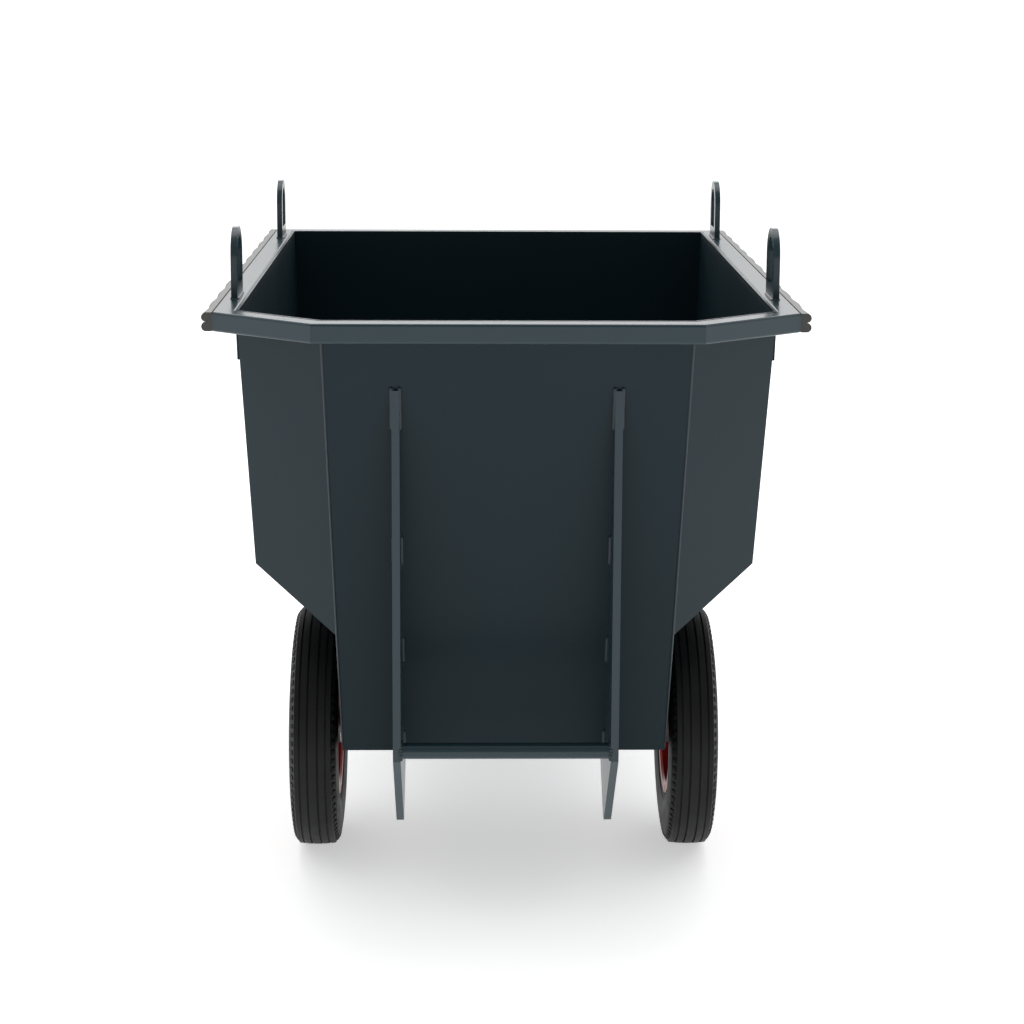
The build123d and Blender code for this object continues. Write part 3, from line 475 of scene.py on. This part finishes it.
def spin_ring(mesh, x, ring_radius, wire_radius, sides, steps):
    """Adds a ring of round wire about the X axis, its wire's middle at x."""
    made = bmesh.ops.create_circle(mesh, segments=sides, radius=wire_radius, cap_ends=False)
    verts = made["verts"]
    edges = list(dict.fromkeys(edge for vert in verts for edge in vert.link_edges))
    upright = Matrix.Rotation(math.pi / 2, 3, "X")
    bmesh.ops.rotate(mesh, cent=(0, 0, 0), matrix=upright, verts=verts)
    bmesh.ops.translate(mesh, vec=(x, 0, ring_radius), verts=verts)
    bmesh.ops.spin(
        mesh, geom=verts + edges, cent=(0, 0, 0), axis=(1, 0, 0), angle=2 * math.pi,
        steps=steps, use_merge=True)


def tipping_foot_y():
    """How far back the raked wall's outer face meets the floor."""
    floor_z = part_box("tub_front_wall")[0].z
    vertices = frame["nodes"]["tub_front_wall"].data.vertices
    return min(v.co.y for v in vertices if v.co.z < floor_z + 0.0005)


def on_front_wall(x, z):
    """A point on the raked wall's outer face."""
    low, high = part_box("tub_front_wall")
    share = (high.z - z) / (high.z - low.z)
    return Vector((x, low.y + (tipping_foot_y() - low.y) * share, z))


# ---------------------------------------------------------------- pieces
FINISHES = (
    slate_paint, lightened_gloss_paint, red_paint, zinc, turned_steel, tyre_rubber, strip_rubber, weld_paint,
    foam_core,
)
# Parts given the lightened copy of the slate enamel, a painted highlight.
LIGHTENED_PAINT_NODES = ("rim_", "lifting_eye", "crossbar", "tipping_rail")
NODE_FINISHES = {
    "cart_paint": "slate_paint",
    "rim_red": "wheel_rim_paint",
    "tyre": "tyre_rubber",
    "tyre_foam": "foam_core",
    "strip_rubber": "strip_rubber",
    "zinc_steel": "zinc_plated_steel",
    "bare_steel": "turned_steel",
}


class CART_OT_paint_frame(bpy.types.Operator):
    """Gives every solid of the frame its finish."""

    bl_idname = "cart.paint_frame"
    bl_label = "Paint the frame"

    def execute(self, context):
        for make in FINISHES:
            make()
        slots = {p["node"]: p["material_slot"] for p in frame["record"]["subparts"]}
        for name, node in frame["nodes"].items():
            finish = NODE_FINISHES[slots[name]]
            # These parts take the lightened slate enamel, a painted highlight.
            if name.startswith(LIGHTENED_PAINT_NODES) and "bolts" not in name:
                finish = "rim_tube_paint_lightened"
            node.data.materials.clear()
            node.data.materials.append(bpy.data.materials[finish])
        return {"FINISHED"}


class CART_OT_rubbing_strips(bpy.types.Operator):
    """Makes each rubbing strip bulge gently between its screws, in place of the plain strip."""

    bl_idname = "cart.rubbing_strips"
    bl_label = "Rubbing strips"

    def execute(self, context):
        wave = detail_settings().strip_wave
        screws = frame["nodes"]["strip_screws"].data.vertices
        for name, side in SIDES:
            node = f"rubbing_strip_{name}"
            low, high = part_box(node)
            places = sorted(v.co.y for v in screws if v.co.x * side > 0)
            spans = sum(1 for a, b in zip(places, places[1:]) if b - a > SCREW_GAP)
            pitch = (places[-1] - places[0] - SCREW_HEAD) / spans
            first = places[0] + SCREW_HEAD / 2
            mesh = bmesh.new()
            mesh.from_mesh(frame["nodes"][node].data)
            bmesh.ops.remove_doubles(mesh, verts=mesh.verts, dist=MERGE_DISTANCE)
            bmesh.ops.dissolve_limit(
                mesh, angle_limit=math.radians(1), verts=mesh.verts, edges=mesh.edges)
            for cut in range(1, STRIP_SLICES):
                y = low.y + (high.y - low.y) * cut / STRIP_SLICES
                bmesh.ops.bisect_plane(
                    mesh, geom=mesh.verts[:] + mesh.edges[:] + mesh.faces[:],
                    plane_co=(0, y, 0), plane_no=(0, 1, 0))
            depth = high.x - low.x
            inner = low.x if side > 0 else high.x
            for vert in mesh.verts:
                out = abs(vert.co.x - inner) / depth
                bulge = wave * math.cos(2 * math.pi * (vert.co.y - first) / pitch)
                spot = Vector((vert.co.y * 22, side * 3.0, vert.co.z * 40))
                bulge += STRIP_UNEVENNESS * noise.noise(spot)
                vert.co.x -= side * max(0.0, (bulge + wave) * 0.5) * out
            new_piece(f"{node}_moulded", mesh, bpy.data.materials["strip_rubber"], "cart",
                      (node,))
        return {"FINISHED"}


class CART_OT_tyre_treads(bpy.types.Operator):
    """Raises each tyre's shoulder blocks and its side wall rings."""

    bl_idname = "cart.tyre_treads"
    bl_label = "Tyre treads"

    def execute(self, context):
        count = detail_settings().tread_blocks
        for name, _ in SIDES:
            low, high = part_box(f"tyre_{name}")
            centre = (low + high) / 2
            half = (high.x - low.x) / 2
            radius = (high.z - low.z) / 2
            mesh = bmesh.new()
            for edge in (-1, 1):
                for step in range(count):
                    angle = 2 * math.pi * step / count
                    verts = bmesh.ops.create_cube(mesh, size=1.0)["verts"]
                    size = (half * BLOCK_WIDTH_SHARE, BLOCK_LENGTH, BLOCK_THICKNESS)
                    lean = Matrix.Rotation(edge * BLOCK_LEAN, 3, "Y")
                    place = (edge * half * BLOCK_OUT_SHARE, 0, radius - BLOCK_DEPTH)
                    round_wheel = Matrix.Rotation(angle, 3, "X")
                    # Lean each block over the shoulder, then carry it round the wheel.
                    bmesh.ops.scale(mesh, vec=size, verts=verts)
                    bmesh.ops.rotate(mesh, cent=(0, 0, 0), matrix=lean, verts=verts)
                    bmesh.ops.translate(mesh, vec=place, verts=verts)
                    bmesh.ops.rotate(mesh, cent=(0, 0, 0), matrix=round_wheel, verts=verts)
            bmesh.ops.bevel(
                mesh, geom=mesh.edges[:], offset=BLOCK_EDGE, segments=1, profile=0.5,
                affect="EDGES", material=-1)
            bmesh.ops.translate(mesh, vec=centre, verts=mesh.verts)
            new_piece(f"tyre_shoulder_blocks_{name}", mesh, bpy.data.materials["tyre_rubber"],
                      f"wheel_{name}")
            rings = bmesh.new()
            for edge in (-1, 1):
                for ring_radius, thickness, out in WALL_RINGS:
                    x = edge * (half - WALL_RING_INSET + out)
                    spin_ring(rings, x, ring_radius, thickness, sides=8, steps=96)
            bmesh.ops.remove_doubles(rings, verts=rings.verts, dist=MERGE_DISTANCE)
            bmesh.ops.translate(rings, vec=centre, verts=rings.verts)
            new_piece(f"tyre_wall_rings_{name}", rings, bpy.data.materials["tyre_rubber"],
                      f"wheel_{name}")
        return {"FINISHED"}


class CART_OT_tipping_welds(bpy.types.Operator):
    """Stitch welds between the tipping rails, the raked wall and the crossbar."""

    bl_idname = "cart.tipping_welds"
    bl_label = "Tipping rail welds"

    def execute(self, context):
        stitch = detail_settings().stitch
        floor_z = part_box("tub_front_wall")[0].z
        for name, side in SIDES:
            low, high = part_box(f"tipping_rail_{name}")
            top = high.z + 0.006
            runs = []
            for face in (low.x, high.x):
                for share, size in TIPPING_STITCHES:
                    height = top - share * (top - floor_z)
                    foot = max(height - stitch * size, floor_z + 0.004)
                    runs.append((on_front_wall(face, height), on_front_wall(face, foot)))
            weld_piece(f"tipping_rail_weld_{name}", runs, TIPPING_BEAD)
            bar_low, bar_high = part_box("crossbar")
            middle = (bar_low + bar_high) / 2
            radius = (bar_high.z - bar_low.z) / 2
            end_x = bar_high.x if side > 0 else bar_low.x
            ring = bmesh.new()
            spin_ring(ring, 0, radius, CROSSBAR_BEAD, sides=10, steps=64)
            bmesh.ops.remove_doubles(ring, verts=ring.verts, dist=MERGE_DISTANCE)
            for vert in ring.verts:
                swell = 1 + 0.05 * math.sin(math.atan2(vert.co.y, vert.co.z) * 20)
                vert.co.y *= swell
                vert.co.z *= swell
            bmesh.ops.translate(ring, vec=(end_x, middle.y, middle.z), verts=ring.verts)
            new_piece(f"crossbar_weld_{name}", ring, bpy.data.materials["painted_weld"],
                      "cart")
        return {"FINISHED"}


class CART_OT_tub_welds(bpy.types.Operator):
    """Welds of the tub's raked corners, under its front and rear rails, and of the drawbar gusset."""

    bl_idname = "cart.tub_welds"
    bl_label = "Tub welds"

    def execute(self, context):
        wall_low, wall_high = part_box("tub_front_wall")
        points = [v.co.copy() for v in frame["nodes"]["tub_front_wall"].data.vertices]
        foot_y = tipping_foot_y()
        top_half = max(
            abs(p.x) for p in points if p.z > wall_high.z - 0.001 and p.y < wall_low.y + 0.004)
        foot_half = max(
            abs(p.x) for p in points if p.z < wall_low.z + 0.0005 and p.y < foot_y + 0.0005)
        rail_low, rail_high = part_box("rim_front_rail")
        runs = []
        for side in (1, -1):
            top = Vector((side * top_half, rail_high.y, wall_high.z))
            foot = Vector((side * foot_half, foot_y, wall_low.z))
            runs.append((top.lerp(foot, 0.045), top.lerp(foot, 0.995)))
        weld_piece("raked_corner_welds", runs, RAKED_CORNER_BEAD)
        under = rail_low.z - RAIL_CLEARANCE
        stitches = []
        for share in FRONT_RAIL_STITCHES:
            point = on_front_wall(share * top_half, under)
            stitches.append((point + Vector((-0.022, 0, 0)), point + Vector((0.022, 0, 0))))
        weld_piece("front_rail_welds", stitches, FRONT_RAIL_BEAD)
        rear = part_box("tub_rear_wall")[1]
        rear_runs = []
        for share in REAR_RAIL_STITCHES:
            x = share * rear.x
            rear_runs.append(((x - 0.025, rear.y, under), (x + 0.025, rear.y, under)))
        weld_piece("rear_rail_welds", rear_runs, REAR_RAIL_BEAD)
        low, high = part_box("drawbar_gusset")
        gusset_runs = []
        for x in (low.x, high.x):
            upright = low.y + 0.001
            gusset_runs.append(((x, upright, low.z + 0.01), (x, upright, high.z - 0.004)))
            gusset_runs.append(((x, low.y + 0.006, low.z), (x, high.y - 0.004, low.z)))
        weld_piece("drawbar_gusset_welds", gusset_runs, GUSSET_BEAD)
        return {"FINISHED"}


class CART_OT_eye_welds(bpy.types.Operator):
    """Fillet welds along the feet of the lifting eyes."""

    bl_idname = "cart.eye_welds"
    bl_label = "Lifting eye welds"

    def execute(self, context):
        runs = []
        for name, _ in SIDES:
            for end in ("front", "rear"):
                low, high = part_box(f"lifting_eye_{end}_{name}")
                for x in (low.x, high.x):
                    runs.append(((x, low.y + 0.004, low.z), (x, high.y - 0.004, low.z)))
                for y in (low.y, high.y):
                    runs.append(((low.x, y, low.z), (high.x, y, low.z)))
        weld_piece("lifting_eye_welds", runs, EYE_BEAD)
        return {"FINISHED"}


class CART_OT_valves(bpy.types.Operator):
    """A valve stem and its cap in each wheel rim."""

    bl_idname = "cart.valves"
    bl_label = "Valve stems"

    def execute(self, context):
        for name, side in SIDES:
            low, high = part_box(f"tyre_{name}")
            centre = (low + high) / 2
            mesh = bmesh.new()
            for depth, radius, middle in VALVE_PARTS:
                made = bmesh.ops.create_cone(
                    mesh, cap_ends=True, cap_tris=False, segments=20,
                    radius1=radius, radius2=radius * 0.86, depth=depth)
                bmesh.ops.translate(mesh, vec=(0, 0, middle), verts=made["verts"])
            outwards = Matrix.Rotation(side * math.pi / 2, 3, "Y")
            place = (centre.x + side * VALVE_OUT, centre.y, centre.z + VALVE_UP)
            bmesh.ops.rotate(mesh, cent=(0, 0, 0), matrix=outwards, verts=mesh.verts)
            bmesh.ops.translate(mesh, vec=place, verts=mesh.verts)
            new_piece(f"valve_stem_{name}", mesh, bpy.data.materials["tyre_rubber"],
                      f"wheel_{name}")
        return {"FINISHED"}


def make_floor(scene):
    """A pale floor with a faint glow of its own."""
    grid = bmesh.new()
    bmesh.ops.create_grid(grid, x_segments=1, y_segments=1, size=30)
    data = bpy.data.meshes.new("studio_floor")
    grid.to_mesh(data)
    grid.free()
    floor = bpy.data.objects.new("studio_floor", data)
    scene.collection.objects.link(floor)
    finish = Finish("studio_floor")
    tone = finish.noise(2.0, 2.0)
    finish.set(
        Base_Color=finish.blend(tone, (0.90, 0.90, 0.90), (0.92, 0.92, 0.92)),
        Roughness=tone * 0.02 + 0.7,
        Emission_Color=(1, 1, 1, 1),
        Emission_Strength=0.5,
    )
    data.materials.append(finish.material)


def make_world(scene):
    """A white surround, dimmer in front of the cart than behind it."""
    world = bpy.data.worlds.new("studio")
    world.use_nodes = True
    tree = world.node_tree
    background = tree.nodes["Background"]
    direction = tree.nodes.new("ShaderNodeTexCoord")
    split = tree.nodes.new("ShaderNodeSeparateXYZ")
    ramp = tree.nodes.new("ShaderNodeMapRange")
    stops = {"From Min": -0.55, "From Max": 0.15, "To Min": 0.30, "To Max": 1.12}
    for key, value in stops.items():
        ramp.inputs[key].default_value = value
    tree.links.new(direction.outputs["Generated"], split.inputs[0])
    tree.links.new(split.outputs["Y"], ramp.inputs["Value"])
    tree.links.new(ramp.outputs["Result"], background.inputs["Strength"])
    background.inputs["Color"].default_value = (1, 1, 1, 1)
    scene.world = world
    scene.view_settings.view_transform = "Standard"


def make_lamps(scene):
    for name, place, target, size, power in LAMPS:
        lamp = bpy.data.lights.new(name, "AREA")
        lamp.shape = "RECTANGLE"
        lamp.size, lamp.size_y = size
        lamp.energy = power
        holder = bpy.data.objects.new(name, lamp)
        holder.location = place
        aim = Vector(target) - Vector(place)
        holder.rotation_euler = aim.to_track_quat("-Z", "Y").to_euler()
        scene.collection.objects.link(holder)


def make_camera(scene):
    settings = scene.cart_stage
    lens = bpy.data.cameras.new("studio_camera")
    lens.lens = settings.lens
    lens.sensor_width = 36
    lens.shift_y = settings.shift
    lens.clip_end = 200
    camera = bpy.data.objects.new("studio_camera", lens)
    camera.location = settings.eye
    aim = Vector((
        math.sin(settings.yaw) * math.cos(settings.pitch),
        math.cos(settings.yaw) * math.cos(settings.pitch),
        -math.sin(settings.pitch)))
    roll = Matrix.Rotation(settings.roll, 4, "Z")
    turn = aim.to_track_quat("-Z", "Y").to_matrix().to_4x4() @ roll
    camera.rotation_euler = turn.to_euler()
    scene.collection.objects.link(camera)
    scene.camera = camera


class CART_OT_stage(bpy.types.Operator):
    """A pale floor, soft studio light and the camera."""

    bl_idname = "cart.stage"
    bl_label = "Stage"

    def execute(self, context):
        make_floor(context.scene)
        make_world(context.scene)
        make_lamps(context.scene)
        make_camera(context.scene)
        return {"FINISHED"}


class CART_PT_panel(bpy.types.Panel):
    """Lists the steps that dress the cart."""

    bl_label = "Tub Cart"
    bl_space_type = "VIEW_3D"
    bl_region_type = "UI"
    bl_category = "Tub Cart"

    def draw(self, context):
        for operator in OPERATORS:
            self.layout.operator(operator.bl_idname)
        for group in ("cart_paint", "cart_detail", "cart_stage"):
            settings = getattr(context.scene, group)
            for key in settings.__annotations__:
                self.layout.prop(settings, key)


OPERATORS = (
    CART_OT_paint_frame,
    CART_OT_rubbing_strips,
    CART_OT_tyre_treads,
    CART_OT_tipping_welds,
    CART_OT_tub_welds,
    CART_OT_eye_welds,
    CART_OT_valves,
    CART_OT_stage,
)
CLASSES = (CartPaintSettings, CartDetailSettings, CartStageSettings, *OPERATORS, CART_PT_panel)


def register():
    for cls in CLASSES:
        bpy.utils.register_class(cls)
    bpy.types.Scene.cart_paint = PointerProperty(type=CartPaintSettings)
    bpy.types.Scene.cart_detail = PointerProperty(type=CartDetailSettings)
    bpy.types.Scene.cart_stage = PointerProperty(type=CartStageSettings)


def unregister():
    for group in ("cart_stage", "cart_detail", "cart_paint"):
        delattr(bpy.types.Scene, group)
    for cls in reversed(CLASSES):
        bpy.utils.unregister_class(cls)


def main():
    register()
    for operator in OPERATORS:
        group, name = operator.bl_idname.split(".")
        getattr(getattr(bpy.ops, group), name)()


if __name__ == "__main__":
    main()
